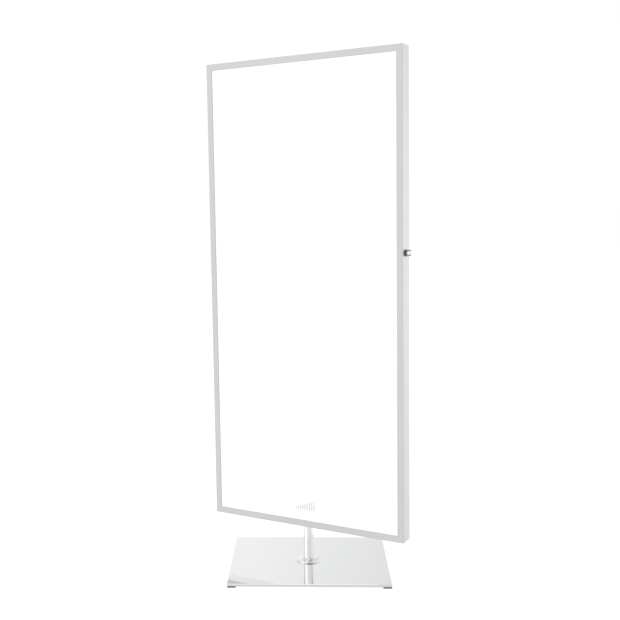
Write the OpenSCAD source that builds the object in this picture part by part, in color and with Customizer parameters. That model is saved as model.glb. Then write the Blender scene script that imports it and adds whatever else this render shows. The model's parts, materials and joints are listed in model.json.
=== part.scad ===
// Free-standing illuminated customer display: a slim framed light panel that
// turns on a short chromed pole over a polished base plate.
// The origin is on the pole's axis, on the floor. +Z is up and -Y is the front
// of the base. The case is drawn square to the base in its own frame, with its
// front face towards -Y, and is turned about the pole by panel_yaw.

/* [Base] */
// Width of the base plate, left to right
base_w = 500; // [420:10:600]
// Depth of the base plate, front to back
base_d = 420; // [340:10:520]
// Thickness of the base plate
base_t = 8; // [8:1:12]
// Side of a square foot pad
pad_side = 26; // [18:1:36]
// Thickness of a foot pad
pad_t = 4; // [3:0.5:8]

/* [Pole] */
// Outer diameter of the pole
pole_d = 35; // [34:0.5:40]
// Wall of the pole
pole_wall = 2; // [1.5:0.25:2]
// Height of the case's underside above the base plate
pole_show = 116; // [100:2:200]
// Diameter of the cover rosette at the foot of the pole
rosette_d = 84; // [70:2:110]
// Height of the cover rosette
rosette_h = 10; // [8:1:16]

/* [Case] */
// Width of the case
case_w = 672; // [560:4:800]
// Height of the case
case_h = 1480; // [1300:10:1700]
// Depth of the case, front to back
case_t = 50; // [50:1:60]
// Width of the frame's front band
band_w = 20; // [18:1:30]
// Angle that the case is turned away from square with the base
panel_yaw = -27.4; // [-120:0.1:120]
// Furthest turn to each side of square, where the stop pin meets its groove's end
swivel_limit = 165; // [90:5:165]

/* [Knob] */
// Diameter of the dimmer knob
knob_d = 20; // [18:1:28]
// Length of the knob
knob_len = 15; // [11:1:18]
// Height of the knob's centre above the case's underside
knob_height = 878; // [600:1:1000]

/* [Hidden] */

$fn = 64;
over = 1;                // how far a cutter runs past the face it cuts
edge = 0.6;              // broken edge on plates and extrusions
press_gap = 0.03;        // radial gap of a press fit
run_gap = 0.05;          // radial gap of a running fit
screw_gap = 0.1;         // radial gap between a screw and its hole

// Colours
c_mirror = [0.88, 0.89, 0.90];
c_chrome = [0.80, 0.81, 0.83];
c_rubber = [0.16, 0.16, 0.17];
c_frame = [0.80, 0.81, 0.82];
c_steel = [0.62, 0.63, 0.65];
c_opal = [0.98, 0.98, 0.98];
c_clear = [0.85, 0.92, 0.94];
c_white = [0.94, 0.94, 0.93];
c_black = [0.10, 0.10, 0.11];
c_bronze = [0.72, 0.55, 0.32];
c_polymer = [0.86, 0.84, 0.74];
c_pcb = [0.90, 0.90, 0.86];

// Levels on the pole's axis, from the floor up
plate_z = pad_t;
plate_top = pad_t + base_t;
case_z = plate_top + pole_show;
washer_t = 2;
flange_t = 2;
flange_z = case_z - washer_t - flange_t;

// Pole and its plugs
pole_r = pole_d / 2;
pole_bore_r = pole_r - pole_wall;
foot_plug_len = 28;
top_plug_len = 62;
bolt_r = 6;
bolt_head_r = 12;
bolt_top = 24;           // the bolt's end above the plate
bolt_hole_gap = 0.5;     // radial gap round the bolt and its head
bolt_sink = 0.4;         // the head's face, in from the plate's underside
bolt_socket_r = 4.6;
bolt_socket_depth = 5;
dowel_r = 2.5;
dowel_offset = 11.5;
dowel_depth = 4;         // the dowel's hole in the plate
dowel_z = plate_top - dowel_depth;
dowel_len = 15;
pin_end_gap = 0.2;       // gap between a pin's end and the foot of its hole

// Spindle, its stop and its bearings
spindle_r = 8;
spindle_foot = 50;       // length of the spindle in the top plug
spindle_end = 3;         // length of the spindle above the collar
spindle_chamfer = 1;
spindle_pin_r = 2;
spindle_pin_drop = 28;
stop_r = 1.5;
stop_orbit = 11.5;
stop_rise = 5;
stop_depth = 4;          // the stop pin's hole below the plug's flange
groove_gap = 0.3;        // gap between the stop pin and each side of its groove
groove_w = 2 * (stop_r + groove_gap);
groove_depth = 6;
spigot_r = 17;
housing_w = 40;
housing_foot_w = 76;
housing_foot_t = 8;
housing_h = 30;
housing_gap = 0.5;       // gap in front of and behind the housing
housing_screw_x = housing_foot_w / 2 - 9;
bush_wall = 1.5;
bush_r = spindle_r + bush_wall;
bush_lift = 1.2;         // foot of the lower bush above the groove
block_w = 48;
block_screw_x = 15;
block_screw_len = 12;
bearing_rise = 412;      // centre of the upper bearing above the case's floor
collar_r = 13;
collar_h = 12;
spring_h = 3;
spring_t = 1.5;

// Frame extrusion: u runs in from the outer face, v runs back from the front
wall = 2;
lip_t = 2;
ledge_w = 14;
ledge_t = 2.5;
cover_t = 2;
ledge_v = case_t - cover_t - ledge_t;
screw_line = 8;          // screws in the rear ledge, in from the outer face

// Optical stack, front to back
diffuser_t = 3;
guide_t = 3;
reflector_t = 0.5;
backing_t = 1.5;
diffuser_v = lip_t;
guide_v = diffuser_v + diffuser_t;
reflector_v = guide_v + guide_t;
backing_v = reflector_v + reflector_t;
stack_v = backing_v + backing_t;
diffuser_in = 9.5;       // the diffuser's side edges, in from the outer face
guide_in = 10;           // the guide's side edges, clear of the light bars
stack_lift = wall + 1;   // lower and upper edges of the whole stack

// Cross-members
member_h = 40;
member_wall = 2;
member_d = ledge_v - stack_v;
member_end_gap = 0.5;
member_len = case_w - 2 * (wall + member_end_gap);
bearing_member_z = case_z + bearing_rise - member_h / 2;
collar_z = bearing_member_z + member_h + washer_t + spring_h;
upper_member_rise = 1000;
upper_member_z = case_z + upper_member_rise;
block_gap = 0.2;

// Screws
m4_r = 2;
m4_head_r = 3.8;
m4_head_t = 2.3;
m4_pan_t = 2.6;
m4_len = 7;
m3_r = 1.5;
m3_head_r = 2.8;
m3_head_t = 1.8;
head_sink = 0.1;         // a countersunk head's face below the surface
recess_w = 0.8;          // width of a cross recess's arms

// Electrical pieces
bar_u = 6;
bar_d = 4.5;
bar_v = guide_v - 0.5;
bar_end = 24;
chip_count = 24;
chip = [0.8, 2.8, 4];
driver = [160, 30, 36];
driver_x = -150;
driver_foot = 12;
driver_foot_t = 2;
driver_v = 14;
driver_edge = 1.2;
driver_screw_x = driver.x / 2 + driver_foot / 2;
driver_lead_in = 15;     // the supply lead's exit, in from the driver's end
inlet_z = case_z + 75;
inlet_body = [27, 24, 19.5];
inlet_flange = [50, 2, 24];
inlet_socket = [23, 18, 14];
inlet_gap = 0.2;         // gap round the inlet in the back cover
inlet_contact = [2.4, 7, 5];
contact_root = 1.5;      // length of a contact in the socket's floor
contact_gap = 0.03;
contact_points = [[-6.5, -1.5], [0, 2.5], [6.5, -1.5]];
inlet_screw_x = 20;
inlet_screw_grip = 4;    // length of an inlet screw past the back cover
lead_r = 2.5;
led_lead_r = 1.5;
inlet_lead_back = 5;     // the inlet lead's line, behind the driver's front
lead_v = 40;             // the leads' line behind the spindle
lead_rise = 60;          // the supply lead's crossing above the case's underside
riser_x = case_w / 2 - 14;
riser_y = 3;             // the riser's line behind the case's middle
riser_hole_r = lead_r + 2.5;
crossover_z = upper_member_z - 20;
clip = [16, 9, 8];
clip_rises = [180, 320, 560, 720];
clip_gap = 0.05;

// Dimmer and knob, along the case's width
knob_z = case_z + knob_height;
knob_v = case_t / 2 + 1;
dimmer_depth = 18;
dimmer_size = 24;
dimmer_back = 4;         // thickness of the dimmer body behind its shaft
bushing_r = 3.5;
bushing_out = 4;
nut_af = 10;
nut_t = 2;
bezel_t = 3;
bezel_r = knob_d / 2 + 0.3;
bezel_bore_r = 6.5;
knob_lift = 0.5;         // gap between the bezel and the knob
knob_r = knob_d / 2;
shaft_r = 3;
knob_cap = 2.5;          // thickness of the knob's end beyond its shaft
shaft_out = bezel_t + knob_lift + knob_len - knob_cap;
shaft_end_gap = 0.2;
groove_cut = 0.8;        // depth of the knob's indicator groove
groove_line_w = 1.6;     // width of that groove
groove_start = 4;        // its start along the knob
grub_along = 7;          // the grub screw's place along the knob
grub_r = 1.5;

// ---------- shared shapes ----------

// Turns the case's own frame to where the case stands
module in_case() {
    rotate([0, 0, panel_yaw]) children();
}

// Places something in the case: x from its middle, v back from its front
// face, z from the floor
module at_case(x, v, z) {
    translate([x, v - case_t / 2, z]) children();
}

// Rectangle with its four corners broken at 45 degrees, centred
module broken_rect(a, b, c) {
    polygon([
        [-a / 2 + c, -b / 2], [a / 2 - c, -b / 2], [a / 2, -b / 2 + c],
        [a / 2, b / 2 - c], [a / 2 - c, b / 2], [-a / 2 + c, b / 2],
        [-a / 2, b / 2 - c], [-a / 2, -b / 2 + c]
    ]);
}

// Box centred in X and Y and standing on Z = 0, with every edge broken
module broken_box(size, c) {
    intersection() {
        linear_extrude(size.z) broken_rect(size.x, size.y, c);
        translate([0, size.y / 2, size.z / 2]) rotate([90, 0, 0])
            linear_extrude(size.y) broken_rect(size.x, size.z, c);
        translate([-size.x / 2, 0, size.z / 2]) rotate([90, 0, 90])
            linear_extrude(size.x) broken_rect(size.y, size.z, c);
    }
}

// Flat plate in the case, given by its outer margins, its v and its thickness
module case_sheet(side_margin, end_margin, v, t) {
    at_case(0, v, case_z + end_margin)
        translate([-case_w / 2 + side_margin, 0, 0])
        cube([case_w - 2 * side_margin, t, case_h - 2 * end_margin]);
}

// Countersunk screw along -Y, its head's flat face at y = 0
module csk_screw(len) {
    rotate([90, 0, 0]) {
        cylinder(h = m4_head_t, r1 = m4_head_r, r2 = m4_r, $fn = 32);
        cylinder(h = len, r = m4_r, $fn = 32);
    }
}

// Hole for that screw
module csk_hole(len) {
    rotate([90, 0, 0]) {
        cylinder(h = m4_head_t, r1 = m4_head_r + screw_gap,
                 r2 = m4_r + screw_gap, $fn = 32);
        cylinder(h = len, r = m4_r + screw_gap, $fn = 32);
        translate([0, 0, -over]) cylinder(h = over + 0.01,
                 r = m4_head_r + screw_gap, $fn = 32);
    }
}

// Pan-head screw along -Y, its head standing on y = 0, with a cross recess
module pan_screw(len, r, head_r, head_t) {
    difference() {
        rotate([90, 0, 0]) {
            translate([0, 0, -head_t]) cylinder(h = head_t, r = head_r, $fn = 32);
            translate([0, 0, -0.01]) cylinder(h = len, r = r, $fn = 32);
        }
        for (turn = [0, 90])
            rotate([0, turn, 0])
            translate([-head_r * 0.55, head_t * 0.4, -recess_w / 2])
            cube([head_r * 1.1, head_t, recess_w]);
    }
}

// Cable through a list of points: straight runs with ball corners
module lead(points, r) {
    for (i = [0 : len(points) - 2]) {
        run = points[i + 1] - points[i];
        span = norm(run);
        translate(points[i])
            rotate([0, acos(run.z / span), atan2(run.y, run.x)])
            cylinder(h = span, r = r, $fn = 24);
    }
    for (i = [1 : 1 : len(points) - 2])
        translate(points[i]) sphere(r = r, $fn = 24);
}

// ---------- where the screws in the rear ledge are ----------

// Corner-bracket screws, as distances along a rail from its end
bracket_steps = [26, 50];
bracket_leg = 60;
bracket_t = 3;

// Points on the two side rails, as [x, z]
side_x = case_w / 2 - screw_line;
bracket_points = [
    for (sx = [-1, 1]) for (top = [0, 1]) for (step = bracket_steps)
        each [
            [sx * side_x, top ? case_z + case_h - step : case_z + step],
            [sx * (case_w / 2 - step),
             top ? case_z + case_h - screw_line : case_z + screw_line]
        ]
];
member_points = [
    for (sx = [-1, 1]) for (z = [bearing_member_z, upper_member_z])
        for (dz = [member_h * 0.25, member_h * 0.75]) [sx * side_x, z + dz]
];
cover_rows = 6;
cover_row_end = 90;      // first and last screw, in from the case's ends
cover_row_step = (case_h - 2 * cover_row_end) / (cover_rows - 1);
cover_end_x = case_w * 0.22;
cover_points = [
    for (sx = [-1, 1]) for (i = [0 : cover_rows - 1])
        [sx * side_x, case_z + cover_row_end + i * cover_row_step],
    for (sx = [-1, 1]) for (z = [case_z + screw_line,
                                 case_z + case_h - screw_line])
        [sx * cover_end_x, z]
];

// Vents in the back cover: two groups of slots
vent_slot = [46, 3];
vent_pitch = [62, 9];
vent_cols = 7;
vent_rows = 5;
vent_rises = [300, case_h - 200];

// ---------- stand ----------

module base_plate() {
    color(c_mirror)
    difference() {
        translate([0, 0, plate_z]) broken_box([base_w, base_d, base_t], edge);
        translate([0, 0, plate_z - over])
            cylinder(h = base_t + 2 * over, r = bolt_r + bolt_hole_gap);
        translate([0, 0, plate_z - 0.01])
            cylinder(h = bolt_head_r - bolt_r + bolt_hole_gap + 0.01,
                     r1 = bolt_head_r + bolt_hole_gap, r2 = bolt_r);
        translate([0, dowel_offset, dowel_z])
            cylinder(h = base_t, r = dowel_r + press_gap, $fn = 32);
    }
}

// One pad under a corner, flush with both edges: sx and sy pick the corner
module foot_pad(sx, sy) {
    inset = pad_side / 2 + edge;
    color(c_rubber)
    translate([sx * (base_w / 2 - inset), sy * (base_d / 2 - inset), 0])
    translate([-pad_side / 2, -pad_side / 2, 0])
        cube([pad_side, pad_side, pad_t]);
}

module pole_tube() {
    color(c_chrome)
    translate([0, 0, plate_top])
    difference() {
        cylinder(h = flange_z - plate_top, r = pole_r, $fn = 96);
        translate([0, 0, -over])
            cylinder(h = flange_z - plate_top + 2 * over, r = pole_bore_r);
        translate([0, 0, flange_z - plate_top - spindle_pin_drop])
            rotate([0, 90, 0])
            cylinder(h = pole_r + over, r = spindle_pin_r - 0.4, $fn = 24);
    }
}

module foot_plug() {
    color(c_steel)
    translate([0, 0, plate_top])
    difference() {
        cylinder(h = foot_plug_len, r = pole_bore_r - press_gap);
        translate([0, 0, -over])
            cylinder(h = foot_plug_len + 2 * over, r = bolt_r + screw_gap);
        translate([0, dowel_offset, -over])
            cylinder(h = dowel_len, r = dowel_r + press_gap, $fn = 32);
    }
}

module base_bolt() {
    head_h = bolt_head_r - bolt_r;
    color(c_steel)
    translate([0, 0, plate_z + bolt_sink])
    difference() {
        union() {
            cylinder(h = head_h, r1 = bolt_head_r, r2 = bolt_r);
            cylinder(h = base_t + bolt_top, r = bolt_r);
        }
        translate([0, 0, -over])
            cylinder(h = bolt_socket_depth + over, r = bolt_socket_r, $fn = 6);
    }
}

module pole_dowel() {
    color(c_steel)
    translate([0, dowel_offset, dowel_z + pin_end_gap])
        cylinder(h = dowel_len + 1, r = dowel_r, $fn = 32);
}

// Turned cover: an upright rim, a shallow bell and a short neck
module base_rosette() {
    rim_r = rosette_d / 2;
    rim_h = 3.5;
    round_r = 1.5;
    neck_r = pole_r + 3.5;
    bell = [for (i = [0 : 8])
        let (a = i * 90 / 8)
        [neck_r + (rim_r - 4 - neck_r) * (1 - sin(a)),
         rim_h + 0.5 + (rosette_h - 2 - rim_h - 0.5) * (1 - cos(a))]];
    color(c_chrome)
    translate([0, 0, plate_top])
    rotate_extrude($fn = 96)
        polygon(concat(
            [[pole_r + 0.1, 0], [rim_r, 0], [rim_r, rim_h - round_r]],
            [for (a = [30, 60, 90])
                [rim_r - round_r + round_r * cos(a),
                 rim_h - round_r + round_r * sin(a)]],
            bell,
            [[neck_r, rosette_h - 0.6], [neck_r - 0.6, rosette_h],
             [pole_r + 0.1, rosette_h]]
        ));
}

module top_plug() {
    bore_foot = flange_z + flange_t - spindle_foot;
    color(c_chrome)
    difference() {
        union() {
            translate([0, 0, flange_z - top_plug_len + flange_t])
                cylinder(h = top_plug_len - flange_t, r = pole_bore_r - press_gap);
            translate([0, 0, flange_z]) cylinder(h = flange_t, r = pole_r, $fn = 96);
        }
        translate([0, 0, bore_foot])
            cylinder(h = spindle_foot + over, r = spindle_r + press_gap);
        translate([-pole_r, 0, flange_z - spindle_pin_drop]) rotate([0, 90, 0])
            cylinder(h = pole_d, r = spindle_pin_r + press_gap, $fn = 24);
        translate([0, stop_orbit, flange_z - stop_depth])
            cylinder(h = flange_t + stop_depth + over, r = stop_r + press_gap,
                     $fn = 24);
    }
}

module spindle() {
    foot = flange_z + flange_t - spindle_foot + pin_end_gap;
    top = collar_z + collar_h + spindle_end;
    color(c_steel)
    difference() {
        union() {
            translate([0, 0, foot])
                cylinder(h = top - foot - spindle_chamfer, r = spindle_r);
            translate([0, 0, top - spindle_chamfer])
                cylinder(h = spindle_chamfer, r1 = spindle_r,
                         r2 = spindle_r - spindle_chamfer);
        }
        translate([-pole_r, 0, flange_z - spindle_pin_drop]) rotate([0, 90, 0])
            cylinder(h = pole_d, r = spindle_pin_r + press_gap, $fn = 24);
    }
}

module spindle_pin() {
    color(c_steel)
    translate([-pole_bore_r + 1, 0, flange_z - spindle_pin_drop])
        rotate([0, 90, 0])
        cylinder(h = 2 * (pole_bore_r - 1), r = spindle_pin_r, $fn = 24);
}

module stop_pin() {
    color(c_steel)
    translate([0, stop_orbit, flange_z - stop_depth + pin_end_gap])
        cylinder(h = stop_depth - pin_end_gap + flange_t + washer_t + stop_rise,
                 r = stop_r, $fn = 24);
}

module lower_thrust_washer() {
    color(c_polymer)
    translate([0, 0, flange_z + flange_t])
    difference() {
        cylinder(h = washer_t, r = pole_r - 1);
        translate([0, 0, -over])
            cylinder(h = washer_t + 2 * over, r = spindle_r + press_gap);
        translate([0, stop_orbit, -over])
            cylinder(h = washer_t + 2 * over, r = stop_r + press_gap, $fn = 24);
    }
}

module upper_thrust_washer() {
    color(c_polymer)
    translate([0, 0, bearing_member_z + member_h])
    difference() {
        cylinder(h = washer_t, r = collar_r - 0.5);
        translate([0, 0, -over])
            cylinder(h = washer_t + 2 * over, r = spindle_r + press_gap);
    }
}

// Conical spring washer between the upper washer and the collar
module disc_spring() {
    inner = spindle_r + 0.2;
    outer = collar_r - 0.5;
    color(c_steel)
    translate([0, 0, bearing_member_z + member_h + washer_t])
    rotate_extrude()
        polygon([[inner, spring_h - spring_t], [outer, 0],
                 [outer, spring_t], [inner, spring_h]]);
}

module retaining_collar() {
    color(c_steel)
    translate([0, 0, collar_z])
    difference() {
        cylinder(h = collar_h, r = collar_r);
        translate([0, 0, -over])
            cylinder(h = collar_h + 2 * over, r = spindle_r + press_gap);
        translate([0, 0, collar_h / 2]) rotate([-90, 0, 0])
            cylinder(h = collar_r + over, r = m4_r + screw_gap, $fn = 24);
    }
}

module collar_screw() {
    socket_r = 1.15;
    socket_foot = 2;
    color(c_steel)
    translate([0, spindle_r + screw_gap, collar_z + collar_h / 2])
    rotate([-90, 0, 0])
    difference() {
        cylinder(h = collar_r - spindle_r - 3 * screw_gap, r = m4_r, $fn = 24);
        translate([0, 0, socket_foot])
            cylinder(h = collar_r, r = socket_r, $fn = 6);
    }
}

// ---------- case: frame ----------

// Section of the frame extrusion, x = u and y = v
module rail_section() {
    polygon([
        [edge, 0], [band_w - edge, 0], [band_w, edge], [band_w, lip_t],
        [wall, lip_t], [wall, ledge_v], [ledge_w, ledge_v],
        [ledge_w, ledge_v + ledge_t], [wall, ledge_v + ledge_t],
        [wall, case_t], [edge, case_t], [0, case_t - edge], [0, edge]
    ]);
}

// Mitred rail along X, centred, outer face down at z = 0, front face at y = 0
module rail(len) {
    intersection() {
        translate([-len / 2, 0, 0])
            rotate([90, 0, 90])
            linear_extrude(len)
            mirror([1, -1]) rail_section();
        translate([0, case_t + over, 0]) rotate([90, 0, 0])
            linear_extrude(case_t + 2 * over)
            polygon([[-len / 2, 0], [len / 2, 0],
                     [len / 2 - band_w - over, band_w + over],
                     [-len / 2 + band_w + over, band_w + over]]);
    }
}

// Countersunk holes in the rear ledge at a list of [x, z] points
module ledge_csk_holes(points) {
    for (p = points)
        at_case(p.x, ledge_v + ledge_t, p.y) csk_hole(ledge_t + over);
}

// Plain holes in the rear ledge, for the back cover's screws
module ledge_cover_holes() {
    for (p = cover_points)
        at_case(p.x, case_t, p.y) rotate([90, 0, 0])
        cylinder(h = cover_t + ledge_t + over, r = m4_r + screw_gap, $fn = 24);
}

module side_rail(sx) {
    difference() {
        at_case(sx * case_w / 2, 0, case_z + case_h / 2)
            rotate([0, -sx * 90, 0]) rail(case_h);
        ledge_csk_holes([for (p = concat(bracket_points, member_points))
                         if (sx * p.x > case_w / 2 - ledge_w) p]);
        ledge_cover_holes();
    }
}

module left_rail() {
    color(c_frame) in_case() side_rail(-1);
}

module right_rail() {
    color(c_frame) in_case()
    difference() {
        side_rail(1);
        at_case(case_w / 2 - wall - over, knob_v, knob_z) rotate([0, 90, 0])
            cylinder(h = wall + 2 * over, r = bushing_r + screw_gap, $fn = 32);
    }
}

module top_rail() {
    color(c_frame) in_case()
    difference() {
        at_case(0, 0, case_z + case_h) rotate([0, 180, 0]) rail(case_w);
        ledge_csk_holes([for (p = bracket_points)
                         if (p.y > case_z + case_h - ledge_w) p]);
        ledge_cover_holes();
    }
}

module bottom_rail() {
    color(c_frame) in_case()
    difference() {
        at_case(0, 0, case_z) rail(case_w);
        ledge_csk_holes([for (p = bracket_points)
                         if (p.y < case_z + ledge_w) p]);
        ledge_cover_holes();
        translate([0, 0, case_z - over])
            cylinder(h = wall + 2 * over, r = spigot_r + screw_gap);
        for (sx = [-1, 1])
            translate([sx * housing_screw_x, 0, case_z - over])
            cylinder(h = wall + 2 * over, r = m4_r + screw_gap, $fn = 24);
        for (sx = [-1, 1])
            translate([driver_x + sx * driver_screw_x,
                       driver_v + driver.y / 2 - case_t / 2, case_z - over])
            cylinder(h = wall + 2 * over, r = m4_r + screw_gap, $fn = 24);
    }
}

// L-shaped plate behind the ledge of two rails; sx and top pick the corner
module corner_bracket(sx, top) {
    leg_w = ledge_w - wall - 0.6;
    clear = wall + 0.3;
    z0 = top ? case_z + case_h : case_z;
    color(c_steel) in_case()
    difference() {
        translate([0, 0, z0]) mirror([0, 0, top])
        translate([sx * case_w / 2, 0, 0]) mirror([sx > 0 ? 1 : 0, 0, 0])
        translate([clear, ledge_v - bracket_t - case_t / 2, clear]) {
            cube([bracket_leg, bracket_t, leg_w]);
            cube([leg_w, bracket_t, bracket_leg]);
        }
        for (p = bracket_points)
            at_case(p.x, ledge_v + over, p.y) rotate([90, 0, 0])
            cylinder(h = bracket_t + 2 * over, r = m4_r + screw_gap, $fn = 24);
    }
}

module corner_screws() {
    color(c_steel) in_case()
    for (p = bracket_points)
        at_case(p.x, ledge_v + ledge_t - head_sink, p.y)
        csk_screw(ledge_t + bracket_t - 4 * head_sink);
}

// Box-section bar between the side rails that presses the optical stack forward
module cross_member(z) {
    difference() {
        at_case(-member_len / 2, stack_v, z) cube([member_len, member_d, member_h]);
        at_case(-member_len / 2 - over, stack_v + member_wall, z + member_wall)
            cube([member_len + 2 * over, member_d - 2 * member_wall,
                  member_h - 2 * member_wall]);
        for (sx = [-1, 1])
            translate([sx * riser_x, riser_y, z - over])
            cylinder(h = member_h + 2 * over, r = riser_hole_r, $fn = 32);
        for (p = member_points)
            at_case(p.x, ledge_v + over, p.y) rotate([90, 0, 0])
            cylinder(h = member_wall + 2 * over, r = m4_r + screw_gap, $fn = 24);
    }
}

module bearing_cross_member() {
    color(c_frame) in_case()
    difference() {
        cross_member(bearing_member_z);
        translate([0, 0, bearing_member_z - over])
            cylinder(h = member_h + 2 * over, r = spindle_r + 1);
        for (sx = [-1, 1])
            at_case(sx * block_screw_x, ledge_v + over,
                    bearing_member_z + member_h / 2)
            rotate([90, 0, 0])
            cylinder(h = member_wall + 2 * over, r = m4_r + screw_gap, $fn = 24);
    }
}

module upper_cross_member() {
    color(c_frame) in_case() cross_member(upper_member_z);
}

module cross_member_screws() {
    color(c_steel) in_case()
    for (p = member_points)
        at_case(p.x, ledge_v + ledge_t - head_sink, p.y) csk_screw(m4_len);
}

// ---------- case: bearings ----------

// Foot block on the bottom rail. Its round spigot drops through the rail, and
// the arc groove under it takes the stop pin.
module lower_bearing_housing() {
    depth_f = case_t / 2 - stack_v - housing_gap;
    depth_b = ledge_v - case_t / 2 - housing_gap;
    sweep = 2 * swivel_limit;
    color(c_steel) in_case()
    difference() {
        union() {
            translate([-housing_foot_w / 2, -depth_f, case_z + wall])
                cube([housing_foot_w, depth_f + depth_b, housing_foot_t]);
            translate([-housing_w / 2, -depth_f, case_z + wall])
                cube([housing_w, depth_f + depth_b, housing_h]);
            translate([0, 0, case_z]) cylinder(h = wall, r = spigot_r);
        }
        translate([0, 0, case_z - over])
            cylinder(h = groove_depth + over + 1.5, r = spindle_r + 0.4);
        translate([0, 0, case_z + groove_depth + 1])
            cylinder(h = housing_h + wall, r = bush_r + press_gap);
        rotate([0, 0, 90 - sweep / 2]) {
            translate([0, 0, case_z - over])
                rotate_extrude(angle = sweep)
                translate([stop_orbit - groove_w / 2, 0])
                square([groove_w, groove_depth + over]);
            for (a = [0, sweep])
                rotate([0, 0, a]) translate([stop_orbit, 0, case_z - over])
                cylinder(h = groove_depth + over, r = stop_r + run_gap * 2,
                         $fn = 24);
        }
        for (sx = [-1, 1])
            translate([sx * housing_screw_x, 0, case_z])
            cylinder(h = housing_foot_t + wall + over, r = m4_r + screw_gap,
                     $fn = 24);
    }
}

module housing_screws() {
    color(c_steel) in_case()
    for (sx = [-1, 1])
        translate([sx * housing_screw_x, 0, case_z + wall + housing_foot_t])
        rotate([90, 0, 0]) pan_screw(housing_foot_t + wall - head_sink, m4_r,
                                     m4_head_r, m4_pan_t);
}

module lower_bush() {
    h = housing_h + wall - groove_depth - bush_lift;
    color(c_bronze) in_case()
    translate([0, 0, case_z + groove_depth + bush_lift])
    difference() {
        cylinder(h = h, r = bush_r);
        translate([0, 0, -over]) cylinder(h = h + 2 * over, r = spindle_r + run_gap);
    }
}

module upper_bearing_block() {
    block_h = member_h - 2 * member_wall - 2 * block_gap;
    v0 = stack_v + member_wall + block_gap;
    v1 = ledge_v - member_wall - block_gap;
    color(c_steel) in_case()
    difference() {
        at_case(-block_w / 2, v0, bearing_member_z + member_wall + block_gap)
            cube([block_w, v1 - v0, block_h]);
        translate([0, 0, bearing_member_z])
            cylinder(h = member_h, r = bush_r + press_gap);
        for (sx = [-1, 1])
            at_case(sx * block_screw_x, v1 + over,
                    bearing_member_z + member_h / 2)
            rotate([90, 0, 0])
            cylinder(h = block_screw_len + over, r = m4_r + screw_gap,
                     $fn = 24);
    }
}

module bearing_block_screws() {
    color(c_steel) in_case()
    for (sx = [-1, 1])
        at_case(sx * block_screw_x, ledge_v, bearing_member_z + member_h / 2)
        pan_screw(block_screw_len, m4_r, m4_head_r, m4_head_t);
}

module upper_bush() {
    z0 = bearing_member_z + member_wall + block_gap;
    h = member_h - 2 * member_wall - 2 * block_gap;
    color(c_bronze) in_case()
    translate([0, 0, z0])
    difference() {
        cylinder(h = h, r = bush_r);
        translate([0, 0, -over]) cylinder(h = h + 2 * over, r = spindle_r + run_gap);
    }
}

// ---------- case: light panel ----------

module diffuser() {
    color(c_opal) in_case()
        case_sheet(diffuser_in, stack_lift, diffuser_v, diffuser_t);
}

module light_guide() {
    color(c_clear) in_case()
        case_sheet(guide_in, stack_lift, guide_v, guide_t);
}

module reflector() {
    color(c_white) in_case()
        case_sheet(guide_in, stack_lift, reflector_v, reflector_t);
}

module backing_sheet() {
    color(c_frame) in_case()
        case_sheet(guide_in, stack_lift, backing_v, backing_t);
}

// Aluminium bar with a row of light chips facing the guide's edge
module led_bar(sx) {
    len = case_h - 2 * bar_end;
    pitch = len / chip_count;
    color(c_pcb) in_case()
    mirror([sx > 0 ? 1 : 0, 0, 0])
    at_case(-case_w / 2 + wall, bar_v, case_z + bar_end) {
        cube([bar_u, bar_d, len]);
        for (i = [0 : chip_count - 1])
            translate([bar_u - 0.01, (bar_d - chip.y) / 2,
                       (i + 0.5) * pitch - chip.z / 2])
            cube(chip);
    }
}

// ---------- case: electrical ----------

module led_driver() {
    z0 = case_z + wall;
    color(c_white) in_case()
    difference() {
        union() {
            at_case(driver_x, driver_v + driver.y / 2, z0)
                broken_box(driver, driver_edge);
            at_case(driver_x - driver.x / 2 - driver_foot, driver_v, z0)
                cube([driver.x + 2 * driver_foot, driver.y, driver_foot_t]);
        }
        for (sx = [-1, 1])
            at_case(driver_x + sx * driver_screw_x,
                    driver_v + driver.y / 2, z0 - over)
            cylinder(h = driver_foot_t + 2 * over, r = m4_r + screw_gap,
                     $fn = 24);
    }
}

module driver_screws() {
    color(c_steel) in_case()
    for (sx = [-1, 1])
        at_case(driver_x + sx * driver_screw_x, driver_v + driver.y / 2,
                case_z + wall + driver_foot_t)
        rotate([90, 0, 0]) pan_screw(driver_foot_t + wall - head_sink, m4_r,
                                     m4_head_r, m4_pan_t);
}

module dimmer_body() {
    x0 = case_w / 2 - wall - dimmer_depth;
    color(c_black) in_case()
    difference() {
        union() {
            at_case(x0, knob_v - dimmer_size / 2, knob_z - dimmer_size / 2)
                cube([dimmer_depth, dimmer_size, dimmer_size]);
            at_case(case_w / 2 - wall - 0.01, knob_v, knob_z) rotate([0, 90, 0])
                cylinder(h = wall + bushing_out, r = bushing_r, $fn = 32);
        }
        at_case(x0 + dimmer_back, knob_v, knob_z) rotate([0, 90, 0])
            cylinder(h = dimmer_depth + wall + bushing_out,
                     r = shaft_r + run_gap, $fn = 48);
    }
}

module dimmer_nut() {
    color(c_steel) in_case()
    at_case(case_w / 2, knob_v, knob_z) rotate([0, 90, 0])
    difference() {
        cylinder(h = nut_t, r = nut_af / 2 / cos(30), $fn = 6);
        translate([0, 0, -over])
            cylinder(h = nut_t + 2 * over, r = bushing_r + screw_gap, $fn = 32);
    }
}

module knob_bezel() {
    color(c_black) in_case()
    at_case(case_w / 2, knob_v, knob_z) rotate([0, 90, 0])
    rotate_extrude()
        polygon([[bezel_bore_r, 0], [bezel_r, 0], [bezel_r, bezel_t - edge],
                 [bezel_r - edge, bezel_t], [bezel_bore_r, bezel_t]]);
}

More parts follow.
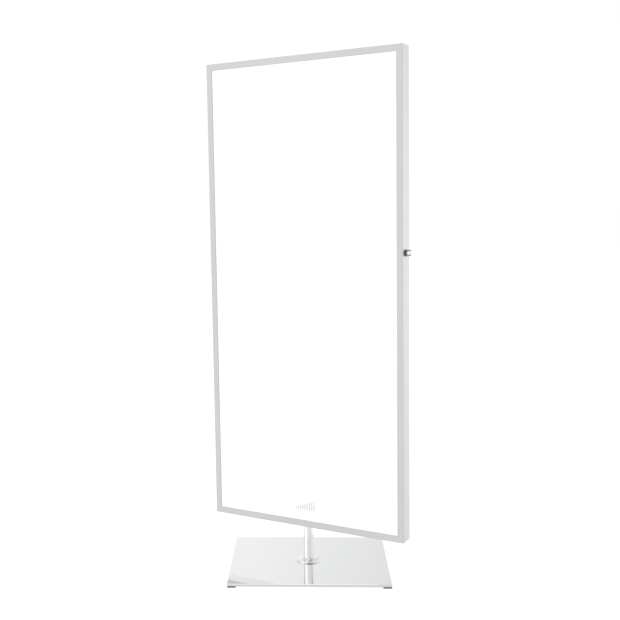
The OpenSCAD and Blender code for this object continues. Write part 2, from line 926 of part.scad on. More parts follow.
// The inlet's three contacts, drawn wider and deeper by a gap for their slots
module contact_blades(gap) {
    floor_v = case_t + inlet_flange.y - inlet_socket.y;
    for (p = contact_points)
        at_case(driver_x + p.x - inlet_contact.x / 2 - gap,
                floor_v - contact_root - gap,
                inlet_z + p.y - inlet_contact.z / 2 - gap)
        cube([inlet_contact.x + 2 * gap, inlet_contact.y + contact_root + gap,
              inlet_contact.z + 2 * gap]);
}

// Mains inlet let into the back cover, with an open socket
module power_inlet() {
    mouth_v = case_t + inlet_flange.y;
    floor_v = mouth_v - inlet_socket.y;
    color(c_black) in_case()
    difference() {
        union() {
            at_case(driver_x - inlet_flange.x / 2, case_t,
                    inlet_z - inlet_flange.z / 2) cube(inlet_flange);
            at_case(driver_x - inlet_body.x / 2, case_t - inlet_body.y,
                    inlet_z - inlet_body.z / 2)
                cube([inlet_body.x, inlet_body.y + 0.01, inlet_body.z]);
        }
        at_case(driver_x - inlet_socket.x / 2, floor_v,
                inlet_z - inlet_socket.z / 2)
            cube([inlet_socket.x, inlet_socket.y + over, inlet_socket.z]);
        for (sx = [-1, 1])
            at_case(driver_x + sx * inlet_screw_x, mouth_v + over, inlet_z)
            rotate([90, 0, 0])
            cylinder(h = inlet_flange.y + 2 * over, r = m3_r + screw_gap,
                     $fn = 24);
        contact_blades(contact_gap);
    }
}

module inlet_contacts() {
    color(c_bronze) in_case() contact_blades(0);
}

module inlet_screws() {
    color(c_steel) in_case()
    for (sx = [-1, 1])
        at_case(driver_x + sx * inlet_screw_x, case_t + inlet_flange.y, inlet_z)
        pan_screw(inlet_flange.y + cover_t + inlet_screw_grip, m3_r,
                  m3_head_r, m3_head_t);
}

// From the inlet down to the driver
module inlet_lead() {
    y = driver_v + inlet_lead_back - case_t / 2;
    color(c_black) in_case()
    lead([[driver_x, case_t / 2 - inlet_body.y, inlet_z],
          [driver_x, y, inlet_z],
          [driver_x, y, case_z + wall + driver.z]], lead_r);
}

// From the driver, behind the spindle, up the right rail to the dimmer
module supply_lead() {
    x0 = driver_x + driver.x / 2 - driver_lead_in;
    y_back = lead_v - case_t / 2;
    z_low = case_z + lead_rise;
    color(c_black) in_case()
    lead([[x0, riser_y, case_z + wall + driver.z],
          [x0, riser_y, z_low],
          [x0, y_back, z_low],
          [riser_x, y_back, z_low],
          [riser_x, riser_y, z_low],
          [riser_x, riser_y, knob_z - dimmer_size / 2]], lead_r);
}

// From the dimmer up and across to the left light bar
module led_lead() {
    x_bar = case_w / 2 - wall - bar_u / 2;
    color(c_white) in_case()
    lead([[riser_x, riser_y, knob_z + dimmer_size / 2],
          [riser_x, riser_y, crossover_z],
          [-x_bar, riser_y, crossover_z],
          [-x_bar, bar_v + bar_d - case_t / 2, crossover_z]], led_lead_r);
}

// Saddle clips on the right rail's inner wall
module cable_clips() {
    color(c_white) in_case()
    for (rise = clip_rises)
        difference() {
            translate([case_w / 2 - wall - clip.x, riser_y - clip.y / 2,
                       case_z + rise])
                cube(clip);
            translate([riser_x, riser_y, case_z + rise - over])
                cylinder(h = clip.z + 2 * over, r = lead_r + clip_gap, $fn = 32);
        }
}

// ---------- case: back ----------

// One group of vent slots, its lowest row at height z
module vent_slots(z) {
    straight = vent_slot.x - vent_slot.y;
    for (col = [0 : vent_cols - 1]) for (row = [0 : vent_rows - 1])
        at_case((col - (vent_cols - 1) / 2) * vent_pitch.x, case_t + over,
                z + row * vent_pitch.y)
        rotate([90, 0, 0])
        linear_extrude(cover_t + 2 * over) {
            square([straight, vent_slot.y], center = true);
            for (sx = [-1, 1])
                translate([sx * straight / 2, 0])
                circle(d = vent_slot.y, $fn = 24);
        }
}

module back_cover() {
    margin = wall + 0.3;
    color(c_white) in_case()
    difference() {
        case_sheet(margin, margin, case_t - cover_t, cover_t);
        for (p = cover_points)
            at_case(p.x, case_t + over, p.y) rotate([90, 0, 0])
            cylinder(h = cover_t + 2 * over, r = m4_r + 3 * screw_gap, $fn = 24);
        for (rise = vent_rises) vent_slots(case_z + rise);
        at_case(driver_x - inlet_body.x / 2 - inlet_gap, case_t - cover_t - over,
                inlet_z - inlet_body.z / 2 - inlet_gap)
            cube([inlet_body.x + 2 * inlet_gap, cover_t + 2 * over,
                  inlet_body.z + 2 * inlet_gap]);
        for (sx = [-1, 1])
            at_case(driver_x + sx * inlet_screw_x, case_t + over, inlet_z)
            rotate([90, 0, 0])
            cylinder(h = cover_t + 2 * over, r = m3_r + screw_gap, $fn = 24);
    }
}

module back_cover_screws() {
    color(c_steel) in_case()
    for (p = cover_points)
        at_case(p.x, case_t, p.y) pan_screw(cover_t + ledge_t, m4_r,
                                            m4_head_r, m4_head_t);
}

// ---------- knob ----------

// Turned knob with a domed end and an indicator groove towards the front
module knob() {
    chamfer = 1.6;
    end_x = knob_len;
    x0 = case_w / 2 + bezel_t + knob_lift;
    recess_air = 1.5;
    recess = bushing_out - bezel_t - knob_lift + recess_air;
    dome = [for (i = [0 : 5])
        let (a = i * 90 / 5)
        [knob_r - chamfer + chamfer * cos(a), end_x - chamfer + chamfer * sin(a)]];
    color(c_chrome) in_case()
    difference() {
        at_case(x0, knob_v, knob_z) rotate([0, 90, 0]) difference() {
            rotate_extrude($fn = 72)
                polygon(concat([[0, 0], [knob_r - edge, 0], [knob_r, edge]],
                               dome, [[0, end_x]]));
            translate([0, 0, -over]) cylinder(h = recess + over, r = bezel_bore_r);
            cylinder(h = shaft_out - bezel_t - knob_lift + shaft_end_gap,
                     r = shaft_r + press_gap, $fn = 48);
        }
        at_case(x0 + end_x - groove_cut, knob_v - knob_r - over,
                knob_z - groove_line_w / 2)
            cube([groove_cut + over, knob_r + over, groove_line_w]);
        at_case(x0 + groove_start, knob_v - knob_r - over,
                knob_z - groove_line_w / 2)
            cube([end_x, groove_cut + over, groove_line_w]);
        at_case(x0 + grub_along, knob_v, knob_z) rotate([-90, 0, 0])
            cylinder(h = knob_r + over, r = grub_r + screw_gap, $fn = 24);
    }
}

module dimmer_shaft() {
    x0 = case_w / 2 - wall - dimmer_depth + dimmer_back + 0.5;
    color(c_steel) in_case()
    at_case(x0, knob_v, knob_z) rotate([0, 90, 0])
        cylinder(h = case_w / 2 + shaft_out - x0, r = shaft_r, $fn = 48);
}

module knob_grub_screw() {
    x0 = case_w / 2 + bezel_t + knob_lift;
    socket_r = 0.85;
    socket_foot = 3;
    color(c_steel) in_case()
    at_case(x0 + grub_along, knob_v + shaft_r + screw_gap, knob_z)
    rotate([-90, 0, 0])
    difference() {
        cylinder(h = knob_r - shaft_r - 1, r = grub_r, $fn = 24);
        translate([0, 0, socket_foot])
            cylinder(h = knob_r, r = socket_r, $fn = 6);
    }
}

// ---------- assembly ----------

base_plate();
foot_pad(-1, -1);  // foot_pad_front_left
foot_pad(1, -1);  // foot_pad_front_right
foot_pad(-1, 1);  // foot_pad_back_left
foot_pad(1, 1);  // foot_pad_back_right
pole_tube();
foot_plug();
base_bolt();
pole_dowel();
base_rosette();
top_plug();
spindle();
spindle_pin();
stop_pin();
lower_thrust_washer();
upper_thrust_washer();
disc_spring();
retaining_collar();
collar_screw();
left_rail();
right_rail();
top_rail();
bottom_rail();
corner_bracket(-1, 0);  // corner_bracket_bottom_left
corner_bracket(1, 0);  // corner_bracket_bottom_right
corner_bracket(-1, 1);  // corner_bracket_top_left
corner_bracket(1, 1);  // corner_bracket_top_right
corner_screws();
bearing_cross_member();
upper_cross_member();
cross_member_screws();
lower_bearing_housing();
housing_screws();
lower_bush();
upper_bearing_block();
bearing_block_screws();
upper_bush();
diffuser();
light_guide();
reflector();
backing_sheet();
led_bar(-1);  // led_bar_left
led_bar(1);  // led_bar_right
led_driver();
driver_screws();
dimmer_body();
dimmer_nut();
knob_bezel();
power_inlet();
inlet_contacts();
inlet_screws();
inlet_lead();
supply_lead();
led_lead();
cable_clips();
back_cover();
back_cover_screws();
knob();
dimmer_shaft();
knob_grub_screw();
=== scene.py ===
"""A free-standing lit customer display on a swivel pole, dressed around its CAD frame.

Everything is in metres in the CAD's own frame: the pole's axis is Z, the floor is z = 0 and the
base's front is -Y. The case is turned about the pole, so pieces on it are placed in the case's
own axes, which are read from the record.
"""

import json
import math

import bmesh
import bpy
from mathutils import Matrix, Vector


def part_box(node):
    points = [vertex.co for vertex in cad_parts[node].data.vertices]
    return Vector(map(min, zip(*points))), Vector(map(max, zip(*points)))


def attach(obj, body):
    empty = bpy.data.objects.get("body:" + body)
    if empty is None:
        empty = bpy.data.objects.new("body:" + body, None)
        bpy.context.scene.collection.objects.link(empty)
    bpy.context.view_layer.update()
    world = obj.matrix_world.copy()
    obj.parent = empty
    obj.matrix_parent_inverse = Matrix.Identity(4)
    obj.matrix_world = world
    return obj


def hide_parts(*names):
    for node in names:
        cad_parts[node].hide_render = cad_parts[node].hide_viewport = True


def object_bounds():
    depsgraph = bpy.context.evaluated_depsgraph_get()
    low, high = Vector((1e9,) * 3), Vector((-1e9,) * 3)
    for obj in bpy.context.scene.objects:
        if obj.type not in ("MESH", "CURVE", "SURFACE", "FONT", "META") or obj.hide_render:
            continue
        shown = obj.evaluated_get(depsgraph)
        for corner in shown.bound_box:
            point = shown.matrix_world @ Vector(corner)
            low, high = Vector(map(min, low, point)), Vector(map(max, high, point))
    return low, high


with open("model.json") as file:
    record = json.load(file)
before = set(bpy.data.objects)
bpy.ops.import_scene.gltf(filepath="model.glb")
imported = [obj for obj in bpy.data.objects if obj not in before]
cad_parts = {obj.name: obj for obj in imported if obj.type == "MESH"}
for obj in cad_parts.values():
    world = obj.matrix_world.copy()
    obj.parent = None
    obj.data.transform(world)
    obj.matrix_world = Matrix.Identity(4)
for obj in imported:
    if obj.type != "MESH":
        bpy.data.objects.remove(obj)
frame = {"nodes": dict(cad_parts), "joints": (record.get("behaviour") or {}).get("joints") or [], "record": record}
cad_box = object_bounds()
nodes = frame["nodes"]

MM = 0.001


# ---------- the case's own axes ----------

def joint(name):
    """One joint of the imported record, by name."""
    return next(j for j in frame["joints"] if j["name"] == name)


# The dimmer turns about the case's width, so its axis is the case's X.
CASE_X = Vector(joint("dimmer_turn")["axis"])
CASE_YAW = math.atan2(CASE_X.y, CASE_X.x)
CASE_TURN = Matrix.Rotation(CASE_YAW, 4, "Z")


def case_box(node):
    """Lowest and highest corner of a CAD node in the case's own axes."""
    back = CASE_TURN.inverted()
    corners = [back @ v.co for v in nodes[node].data.vertices]
    low = Vector([min(c[i] for c in corners) for i in range(3)])
    high = Vector([max(c[i] for c in corners) for i in range(3)])
    return low, high


# ---------- camera ----------

CAMERA_AT = (0.0100, -3.0175, 1.1474)
CAMERA_SENSOR = 36           # millimetres, as the lens is
CAMERA_LENS = 55.816
CAMERA_SHIFT = 0.104         # of the picture's width
CAMERA_PITCH = math.radians(6.057)   # downwards
CAMERA_YAW = math.radians(3.794)     # to the left of +Y
CAMERA_ROLL = math.radians(-1.138)


def make_camera():
    """The one camera, placed and turned by the constants above."""
    data = bpy.data.cameras.new("camera")
    data.sensor_width = CAMERA_SENSOR
    data.lens = CAMERA_LENS
    data.shift_x = CAMERA_SHIFT
    data.clip_start, data.clip_end = 0.05, 100
    flat = math.cos(CAMERA_PITCH)
    forward = Vector((-math.sin(CAMERA_YAW) * flat, math.cos(CAMERA_YAW) * flat,
                      -math.sin(CAMERA_PITCH)))
    right = Vector((math.cos(CAMERA_YAW), math.sin(CAMERA_YAW), 0))
    up = right.cross(forward)
    rolled_right = math.cos(CAMERA_ROLL) * right + math.sin(CAMERA_ROLL) * up
    rolled_up = -math.sin(CAMERA_ROLL) * right + math.cos(CAMERA_ROLL) * up
    camera = bpy.data.objects.new("camera", data)
    camera.matrix_world = (Matrix.Translation(CAMERA_AT)
                           @ Matrix((rolled_right, rolled_up, -forward)).transposed().to_4x4())
    bpy.context.scene.collection.objects.link(camera)
    bpy.context.scene.camera = camera


# ---------- node trees ----------

class NodeKit:
    """A node tree with short ways to add nodes to it and to link them."""

    def __init__(self, tree):
        self.tree = tree

    def add(self, kind, **props):
        """A new node, with its properties set."""
        made = self.tree.nodes.new(kind)
        for key, value in props.items():
            setattr(made, key, value)
        return made

    def join(self, output, target):
        """Links an output socket to an input socket."""
        self.tree.links.new(output, target)

    def ramp(self, value, from_low, from_high, to_low, to_high):
        """value, spread from one range to another and held at its ends."""
        made = self.add("ShaderNodeMapRange")
        for socket, number in zip(("From Min", "From Max", "To Min", "To Max"),
                                  (from_low, from_high, to_low, to_high)):
            made.inputs[socket].default_value = number
        self.join(value, made.inputs["Value"])
        return made.outputs["Result"]


# ---------- materials ----------

NOISE_LOW, NOISE_HIGH = 0.3, 0.7     # where nearly all of a noise's values lie


class Look(NodeKit):
    """A Principled material and the few node patterns that the materials share."""

    def __init__(self, name, color, roughness, metallic=0.0, **sockets):
        self.material = bpy.data.materials.new(name)
        self.material.use_nodes = True
        super().__init__(self.material.node_tree)
        self.shader = self.tree.nodes["Principled BSDF"]
        self.color = color
        self.set("Base Color", (*color, 1))
        self.set("Roughness", roughness)
        self.set("Metallic", metallic)
        for socket, value in sockets.items():
            self.set(socket.replace("_", " "), value)

    def set(self, socket, value):
        """Gives one of the shader's sockets a plain value."""
        self.shader.inputs[socket].default_value = value

    def noise(self, cell, yaw=0.0, detail=3.0, rough=0.55):
        """Noise whose grains are cell = (x, y, z) metres, in axes turned by yaw."""
        coords = self.add("ShaderNodeTexCoord")
        mapping = self.add("ShaderNodeMapping", vector_type="TEXTURE")
        mapping.inputs["Rotation"].default_value = (0, 0, yaw)
        mapping.inputs["Scale"].default_value = cell
        noise = self.add("ShaderNodeTexNoise")
        noise.inputs["Scale"].default_value = 1.0
        noise.inputs["Detail"].default_value = detail
        noise.inputs["Roughness"].default_value = rough
        self.join(coords.outputs["Object"], mapping.inputs["Vector"])
        self.join(mapping.outputs["Vector"], noise.inputs["Vector"])
        return noise.outputs["Fac"]

    def mottle(self, fac, amount, socket="Base Color"):
        """Varies the colour up and down by amount, following fac."""
        colors = self.add("ShaderNodeValToRGB")
        stops = colors.color_ramp.elements
        stops[0].position, stops[1].position = NOISE_LOW, NOISE_HIGH
        stops[0].color = (*[c * (1 - amount) for c in self.color], 1)
        stops[1].color = (*[min(1.0, c * (1 + amount)) for c in self.color], 1)
        self.join(fac, colors.inputs["Fac"])
        self.join(colors.outputs["Color"], self.shader.inputs[socket])

    def uneven_gloss(self, fac, low, high):
        """Varies the roughness between low and high, following fac."""
        self.join(self.ramp(fac, NOISE_LOW, NOISE_HIGH, low, high),
                  self.shader.inputs["Roughness"])

    def bump(self, fac, depth, strength=1.0):
        """Relief of depth metres, following fac."""
        node = self.add("ShaderNodeBump")
        node.inputs["Strength"].default_value = strength
        node.inputs["Distance"].default_value = depth
        self.join(fac, node.inputs["Height"])
        self.join(node.outputs["Normal"], self.shader.inputs["Normal"])


def satin_silver(name, cell):
    """Satin silver extrusion: faint drawn grain along the rail, over slow tone changes."""
    look = Look(name, (0.545, 0.556, 0.562), 0.36, metallic=0.85)
    grain = look.noise(cell, CASE_YAW, detail=4)
    look.mottle(look.noise((0.25, 0.25, 0.35), CASE_YAW), 0.012)
    look.uneven_gloss(grain, 0.32, 0.42)
    look.bump(grain, 0.01 * MM, 0.3)
    return look.material


def polished_plate():
    """Mirror-polished steel with the faintest haze left by the polishing wheel."""
    look = Look("polished_plate", (0.80, 0.805, 0.81), 0.02, metallic=1.0)
    haze = look.noise((0.05, 0.012, 0.05), 0.4, detail=5)
    look.mottle(look.noise((0.12, 0.12, 0.12)), 0.006)
    look.uneven_gloss(haze, 0.012, 0.045)
    return look.material


def chrome(name, tone):
    """Bright chrome plate with slight unevenness in its polish; tone sets how bright it is, and the lower tones
    used for the rosette and the knob are painted shade.
    """
    look = Look(name, (tone, tone * 1.005, tone * 1.02), 0.03, metallic=1.0)
    smear = look.noise((0.02, 0.02, 0.006), detail=4)
    look.mottle(look.noise((0.03, 0.03, 0.03)), 0.006)
    look.uneven_gloss(smear, 0.02, 0.06)
    return look.material


def rubber_pad():
    """Black rubber with a fine moulded grain."""
    look = Look("rubber_pad", (0.028, 0.028, 0.03), 0.75)
    grain = look.noise((0.6 * MM,) * 3, detail=2)
    look.mottle(look.noise((4 * MM,) * 3), 0.25)
    look.uneven_gloss(grain, 0.65, 0.85)
    look.bump(grain, 0.08 * MM, 0.6)
    return look.material


def opal_acrylic():
    """Satin opal sheet, lit from behind: evenly white with a very slight change of tone."""
    look = Look("opal_acrylic", (0.86, 0.86, 0.86), 0.32,
                Emission_Strength=0.22, IOR=1.49)
    look.mottle(look.noise((0.5, 0.5, 0.7), CASE_YAW, detail=1), 0.006)
    look.mottle(look.noise((0.4, 0.4, 0.6), CASE_YAW, detail=1), 0.01, "Emission Color")
    fine = look.noise((0.5 * MM,) * 3, detail=2)
    look.uneven_gloss(fine, 0.28, 0.38)
    look.bump(fine, 0.01 * MM, 0.15)
    return look.material


def clear_acrylic():
    """Polished clear sheet, as in a light guide."""
    look = Look("clear_acrylic", (0.90, 0.95, 0.96), 0.06, IOR=1.49,
                Transmission_Weight=0.85)
    look.mottle(look.noise((0.05, 0.05, 0.05)), 0.01)
    look.uneven_gloss(look.noise((0.01, 0.01, 0.01)), 0.04, 0.09)
    return look.material


def powder_coat(name, color):
    """Fine orange-peel paint, as on a sheet-metal cover."""
    look = Look(name, color, 0.48)
    peel = look.noise((1.1 * MM,) * 3, detail=2, rough=0.4)
    look.mottle(look.noise((0.09, 0.09, 0.12)), 0.012)
    look.uneven_gloss(peel, 0.42, 0.54)
    look.bump(peel, 0.05 * MM, 0.35)
    return look.material


def moulded_plastic(name, color, roughness):
    """Plastic with the fine sparkle of a spark-eroded mould."""
    look = Look(name, color, roughness)
    spark = look.noise((0.35 * MM,) * 3, detail=2)
    look.mottle(look.noise((8 * MM,) * 3), 0.05)
    look.uneven_gloss(spark, roughness - 0.05, roughness + 0.08)
    look.bump(spark, 0.02 * MM, 0.4)
    return look.material


def worked_metal(name, color, roughness, cell):
    """Mill-finish, plated or sintered metal: streaks or specks of the size given."""
    look = Look(name, color, roughness, metallic=1.0)
    streak = look.noise(cell, CASE_YAW, detail=4)
    look.mottle(streak, 0.05)
    look.uneven_gloss(streak, roughness - 0.06, roughness + 0.1)
    look.bump(streak, 0.02 * MM, 0.3)
    return look.material


def printed_grey():
    """Screen-printed ink on the diffuser, lit through from behind."""
    look = Look("printed_grey", (0.68, 0.68, 0.69), 0.5, Emission_Strength=0.10)
    speck = look.noise((0.3 * MM,) * 3, detail=1)
    look.mottle(speck, 0.03)
    look.mottle(speck, 0.03, "Emission Color")
    return look.material


def make_materials():
    """Every material, under the record's slot name where it stands for a slot."""
    tall_grain = (0.9 * MM, 0.9 * MM, 0.09)
    wide_grain = (0.09, 0.9 * MM, 0.9 * MM)
    return {
        "frame_upright": satin_silver("frame_upright", tall_grain),
        "frame_crosswise": satin_silver("frame_crosswise", wide_grain),
        "polished_steel": polished_plate(),
        "chrome": chrome("chrome", 0.91),
        # The rosette and the knob are the pole's chrome given darker tones. This is painted shade standing in for
        # the darker reflections they show, not a different plating.
        "rosette_chrome": chrome("rosette_chrome", 0.79),
        "knob_chrome": chrome("knob_chrome", 0.66),
        "rubber": rubber_pad(),
        "opal_acrylic": opal_acrylic(),
        "clear_acrylic": clear_acrylic(),
        "cover_white": powder_coat("cover_white", (0.78, 0.78, 0.775)),
        "white_film": powder_coat("white_film", (0.93, 0.93, 0.93)),
        "led_board": powder_coat("led_board", (0.86, 0.86, 0.82)),
        "white_plastic": moulded_plastic("white_plastic", (0.80, 0.80, 0.78), 0.4),
        "black_plastic": moulded_plastic("black_plastic", (0.034, 0.034, 0.036), 0.38),
        "black_cable": moulded_plastic("black_cable", (0.02, 0.02, 0.02), 0.5),
        "bearing_polymer": moulded_plastic("bearing_polymer", (0.82, 0.81, 0.76), 0.35),
        "steel": worked_metal("steel", (0.58, 0.59, 0.60), 0.3, (0.5 * MM,) * 3),
        "mill_aluminium": worked_metal("mill_aluminium", (0.72, 0.73, 0.74), 0.34,
                                       (0.06, 0.7 * MM, 0.7 * MM)),
        "bronze": worked_metal("bronze", (0.55, 0.37, 0.17), 0.38, (0.4 * MM,) * 3),
        "printed_grey": printed_grey(),
    }


def paint(obj, material):
    """Makes material the object's only one."""
    obj.data.materials.clear()
    obj.data.materials.append(material)


SHARP_ANGLE = 32             # degrees


def smooth(mesh, angle=SHARP_ANGLE):
    """Shades a mesh smooth but keeps edges sharper than angle degrees crisp."""
    for face in mesh.polygons:
        face.use_smooth = True
    mesh.set_sharp_from_angle(angle=math.radians(angle))


def dress_cad(materials):
    """Gives each CAD node its slot's material and smooth curved faces."""
    upright = {"left_rail", "right_rail"}
    for part in frame["record"]["subparts"]:
        node, slot = part["node"], part["material_slot"]
        if slot == "frame_silver":
            slot = "frame_upright" if node in upright else "frame_crosswise"
        paint(nodes[node], materials[slot])
        smooth(nodes[node].data)


# ---------- pieces ----------

def link_mesh(name, made, material, angle=SHARP_ANGLE):
    """A new object from a bmesh, linked, painted and shaded."""
    mesh = bpy.data.meshes.new(name)
    made.normal_update()
    made.to_mesh(mesh)
    made.free()
    piece = bpy.data.objects.new(name, mesh)
    bpy.context.scene.collection.objects.link(piece)
    paint(piece, material)
    smooth(mesh, angle)
    return piece


def bridge(made, here, there):
    """A band of four-sided faces between two closed loops of as many vertices."""
    for j in range(len(here)):
        k = (j + 1) % len(here)
        made.faces.new((here[j], there[j], there[k], here[k]))


def join_rings(made, rings):
    """Bridges each ring to the next one, and the last to the first."""
    for here, there in zip(rings, rings[1:] + rings[:1]):
        bridge(made, here, there)
    bmesh.ops.recalc_face_normals(made, faces=made.faces)


def arc(centre, radius, start, stop, steps):
    """Points on an arc in a profile's (r, z) plane, angles in degrees."""
    turns = [math.radians(start + (stop - start) * i / steps) for i in range(steps + 1)]
    return [(centre[0] + radius * math.cos(t), centre[1] + radius * math.sin(t))
            for t in turns]


def lathe(profile, steps):
    """A closed (r, z) profile turned about Z."""
    made = bmesh.new()
    rings = []
    for i in range(steps):
        turn = 2 * math.pi * i / steps
        rings.append([made.verts.new((r * math.cos(turn), r * math.sin(turn), z))
                      for r, z in profile])
    join_rings(made, rings)
    return made


def make_rosette(materials):
    """The turned cover at the pole's foot: rolled rim, concave bell, rounded neck."""
    low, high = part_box("base_rosette")
    pole_low, pole_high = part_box("pole_tube")
    gap = 0.1 * MM                          # to the pole
    bore = (pole_high.x - pole_low.x) / 2 + gap
    rim, height = (high.x - low.x) / 2, high.z - low.z
    rim_h, rim_flat, draft = 3.5 * MM, 4 * MM, math.radians(10)
    roll, lip = 0.8 * MM, 0.8 * MM          # radii at the rim's and the neck's edges
    neck_wall, neck_h = 3.5 * MM, 1.5 * MM
    bell_steps, roll_steps, lip_steps, turn_steps = 20, 8, 6, 128
    neck = bore + neck_wall
    bell_foot = rim - rim_flat
    bell_turns = [math.pi / 2 * i / bell_steps for i in range(bell_steps + 1)]
    bell = [(neck + (bell_foot - neck) * (1 - math.sin(t)),
             rim_h + (height - lip - neck_h - rim_h) * (1 - math.cos(t)))
            for t in bell_turns]
    roll_foot = rim_h - roll + roll * math.sin(draft)
    roll_at = (rim - roll_foot * math.tan(draft) - roll * math.cos(draft), rim_h - roll)
    profile = [(bore, 0), (rim, 0)]
    profile += arc(roll_at, roll, math.degrees(draft), 90, roll_steps)
    profile += bell
    profile += arc((neck - lip, height - lip), lip, 0, 90, lip_steps)
    profile += [(bore, height)]
    made = lathe(profile, turn_steps)
    bmesh.ops.translate(made, verts=made.verts, vec=(0, 0, low.z))
    piece = link_mesh("rosette_cover", made, materials["rosette_chrome"], angle=40)
    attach(piece, "stand")
    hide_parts("base_rosette")


def rounded_square(half, radius, steps=6):
    """Corner-rounded square outline, counter-clockwise, centred."""
    points = []
    for corner in range(4):
        start = corner * 90
        cx = (half - radius) * (1 if corner in (0, 3) else -1)
        cy = (half - radius) * (1 if corner in (0, 1) else -1)
        points += arc((cx, cy), radius, start, start + 90, steps)
    return points


def make_pad(node, materials):
    """Moulded rubber foot: rounded block, softened edges, and a shallow cup under it."""
    low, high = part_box(node)
    centre, half, height = (low + high) / 2, (high.x - low.x) / 2, high.z - low.z
    corner, least_corner = 2.5 * MM, 0.6 * MM       # radii seen from above
    soft, soft_low = 0.5 * MM, 0.15 * MM            # rounding of the upper and lower edges
    cup_in, cup_deep, cup_slope = 4 * MM, 0.8 * MM, 0.8 * MM
    # How far in from the sides, and how high, each loop is, from the cup up to the top.
    levels = [(cup_in + cup_slope, cup_deep), (cup_in, 0), (soft, 0), (soft_low, soft_low),
              (0, soft), (0, height - soft), (soft / 3, height - soft / 3), (soft, height)]
    made = bmesh.new()
    loops = []
    for inset, z in levels:
        outline = rounded_square(half - inset, max(corner - inset, least_corner))
        loops.append([made.verts.new((centre.x + x, centre.y + y, low.z + z))
                      for x, y in outline])
    for lower, upper in zip(loops, loops[1:]):
        bridge(made, lower, upper)
    made.faces.new(list(reversed(loops[0])))
    made.faces.new(loops[-1])
    bmesh.ops.recalc_face_normals(made, faces=made.faces)
    piece = link_mesh(node.replace("foot_pad", "rubber_foot"), made, materials["rubber"],
                      angle=50)
    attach(piece, "stand")
    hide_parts(node)


def make_seal(materials):
    """The thin bead between the frame's front lip and the diffuser."""
    radius, sides = 0.7 * MM, 10
    left, right = case_box("left_rail")[1].x, case_box("right_rail")[0].x
    lower, upper = case_box("bottom_rail")[1].z, case_box("top_rail")[0].z
    face = case_box("diffuser")[0].y
    corners = [(left, lower), (right, lower), (right, upper), (left, upper)]
    inward = [(1, 1), (-1, 1), (-1, -1), (1, -1)]
    made = bmesh.new()
    rings = []
    for (x, z), (ix, iz) in zip(corners, inward):
        ring = []
        for i in range(sides):
            turn = 2 * math.pi * i / sides
            reach = radius * math.cos(turn)
            ring.append(made.verts.new((x + ix * reach, face + radius * math.sin(turn),
                                        z + iz * reach)))
        rings.append(ring)
    join_rings(made, rings)
    made.transform(CASE_TURN)
    piece = link_mesh("diffuser_seal", made, materials["white_plastic"], angle=60)
    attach(piece, "case")


def make_mark(materials):
    """A plain printed scale of rising bars at the foot of the panel."""
    face = case_box("diffuser")[0].y
    middle = 70 * MM                        # of the bars, above the case's lower edge
    bars, width, pitch, end_steps = 9, 4.6 * MM, 8 * MM, 8
    shortest, tallest = 9 * MM, 31 * MM
    ink, gap = 0.12 * MM, 0.01 * MM         # the ink's front and back, out from the diffuser
    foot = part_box("bottom_rail")[0].z + middle - tallest / 2
    made = bmesh.new()
    for i in range(bars):
        x = (i - (bars - 1) / 2) * pitch
        height = shortest + (tallest - shortest) * i / (bars - 1)
        outline = arc((x, foot + width / 2), width / 2, 180, 360, end_steps)
        outline += arc((x, foot + height - width / 2), width / 2, 0, 180, end_steps)
        front = [made.verts.new((px, face - ink, pz)) for px, pz in outline]
        back = [made.verts.new((px, face - gap, pz)) for px, pz in outline]
        made.faces.new(front)
        made.faces.new(list(reversed(back)))
        bridge(made, front, back)
    bmesh.ops.recalc_face_normals(made, faces=made.faces)
    made.transform(CASE_TURN)
    piece = link_mesh("printed_scale", made, materials["printed_grey"], angle=30)
    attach(piece, "case")


# ---------- light and floor ----------

STUDIO_LEVEL = 1.0           # the studio's brightness away from the patches
BACKDROP_LEVEL = 1.02        # what the camera itself sees behind the object
# What the metal reflects on top of the level: a soft patch's azimuth and width, its height above
# the horizon and width, all in degrees, and the amount it adds. Azimuth runs from -Y towards +X.
STUDIO_PATCHES = (
    (-54, 13, -13, 29, 0.58),   # light strip for the front of the frame
    (-62, 14, 28, 14, 0.80),    # brighter softbox above it
    (128, 24, -2, 20, 0.76),    # light strip for its right side
    (30, 7, 0, 90, -0.28),      # dark strip in the pole
    (4, 18, 0, 90, -0.04),      # slight shade round the camera
    (5, 34, 3, 8, -0.72),       # dark space round the camera, in the rosette's rim
    (5, 34, 46, 13, -0.60),     # and above it
    (0, 60, -25, 14, -0.17),    # the floor in front
    (0, 900, 70, 32, -0.18),    # a dimmer ceiling, the same all the way round
    (180, 20, -24, 22, 1.35),   # white card low down behind the object
)
SEAM_AZIMUTH = 150           # patches past this are measured from +Y, where azimuth jumps
# Behind the object, from FADE_FROM to FADE_TO in the direction's y, the studio is a little lighter
# on its left and darker on its right: SIDE_LEVELS are added at SIDE_REACH in the direction's x.
FADE_FROM, FADE_TO = 0, 0.6
SIDE_REACH = (-0.06, 0.10)
SIDE_LEVELS = (0.045, -0.12)


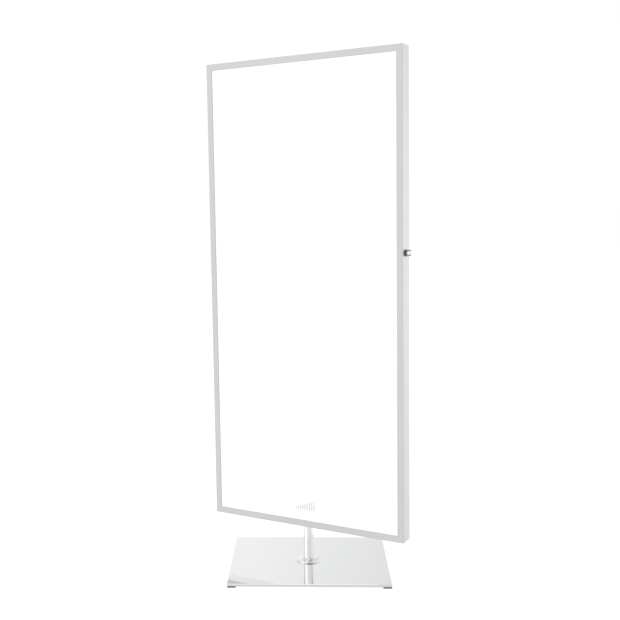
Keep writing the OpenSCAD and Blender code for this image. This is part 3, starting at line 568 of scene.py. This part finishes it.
class WorldNodes(NodeKit):
    """Node tools for the studio world."""

    def __init__(self):
        world = bpy.data.worlds.new("studio")
        bpy.context.scene.world = world
        world.use_nodes = True
        super().__init__(world.node_tree)
        self.tree.nodes.clear()

    def feed(self, value, target):
        """Gives an input socket a number, or links it to an output socket."""
        if isinstance(value, (int, float)):
            target.default_value = value
        else:
            self.join(value, target)

    def math(self, operation, *values):
        """One Math node's result; each value is a number or an output socket."""
        made = self.add("ShaderNodeMath", operation=operation)
        for target, value in zip(made.inputs, values):
            self.feed(value, target)
        return made.outputs[0]

    def bell(self, angle, centre, width):
        """1 where angle is at centre, and 0 from about two widths away; both in degrees.

        angle itself is an output socket, in radians.
        """
        off = self.math("SUBTRACT", angle, math.radians(centre))
        off = self.math("DIVIDE", off, math.radians(width))
        return self.math("EXPONENT", self.math("MULTIPLY", self.math("POWER", off, 2), -1))

    def background(self, strength):
        """White light of a strength that is a number or an output socket."""
        made = self.add("ShaderNodeBackground")
        made.inputs["Color"].default_value = (1, 1, 1, 1)
        self.feed(strength, made.inputs["Strength"])
        return made.outputs[0]


def make_world():
    """A white studio: what the metal reflects has soft light and dark stretches round it."""
    studio = WorldNodes()
    coords = studio.add("ShaderNodeTexCoord")
    split = studio.add("ShaderNodeSeparateXYZ")
    studio.join(coords.outputs["Generated"], split.inputs[0])
    x, y, z = split.outputs
    front = studio.math("ARCTAN2", x, studio.math("MULTIPLY", y, -1))
    behind = studio.math("ARCTAN2", studio.math("MULTIPLY", x, -1), y)
    height = studio.math("ARCSINE", z)
    level = STUDIO_LEVEL
    for centre, width, middle, spread, amount in STUDIO_PATCHES:
        azimuth, at = (behind, centre - 180) if centre > SEAM_AZIMUTH else (front, centre)
        patch = studio.bell(azimuth, at, width)
        patch = studio.math("MULTIPLY", patch, studio.bell(height, middle, spread))
        level = studio.math("MULTIPLY_ADD", patch, amount, level)
    side = studio.ramp(x, *SIDE_REACH, *SIDE_LEVELS)
    level = studio.math("MULTIPLY_ADD", side, studio.ramp(y, FADE_FROM, FADE_TO, 0, 1), level)
    path = studio.add("ShaderNodeLightPath")
    mix = studio.add("ShaderNodeMixShader")
    out = studio.add("ShaderNodeOutputWorld")
    for source, target in ((path.outputs["Is Camera Ray"], mix.inputs[0]),
                           (studio.background(level), mix.inputs[1]),
                           (studio.background(BACKDROP_LEVEL), mix.inputs[2]),
                           (mix.outputs[0], out.inputs[0])):
        studio.join(source, target)
    bpy.context.scene.view_settings.view_transform = "Standard"


def area_light(name, at, aim, size, power):
    """A square softbox at a place, facing another; size in metres, power in watts."""
    data = bpy.data.lights.new(name, "AREA")
    data.shape, data.size, data.energy = "SQUARE", size, power
    light = bpy.data.objects.new(name, data)
    light.location = at
    light.rotation_euler = (Vector(aim) - Vector(at)).to_track_quat("-Z", "Y").to_euler()
    light.visible_camera = False
    bpy.context.scene.collection.objects.link(light)


def make_lights():
    """One weak softbox overhead; the world gives the rest of the light."""
    centre = (0, 0, (cad_box[0].z + cad_box[1].z) / 2)
    area_light("overhead_softbox", at=(-0.6, -1.2, 3.8), aim=centre, size=2.4, power=14)


def make_floor():
    """A plain white sweep, bright enough to keep shadows faint."""
    half, cells = 20, 8
    made = bmesh.new()
    bmesh.ops.create_grid(made, x_segments=cells, y_segments=cells, size=half)
    look = Look("studio_floor", (0.62, 0.62, 0.62), 0.6, Emission_Strength=0.6)
    look.mottle(look.noise((0.4, 0.4, 0.4), detail=2), 0.004)
    look.set("Emission Color", (1, 1, 1, 1))
    look.set("Specular IOR Level", 0.1)
    floor = link_mesh("studio_floor", made, look.material)
    floor.visible_glossy = False


# ---------- the scene ----------

make_camera()
materials = make_materials()
dress_cad(materials)
make_rosette(materials)
for corner in ("front_left", "front_right", "back_left", "back_right"):
    make_pad("foot_pad_" + corner, materials)
make_seal(materials)
make_mark(materials)
make_world()
make_lights()
make_floor()
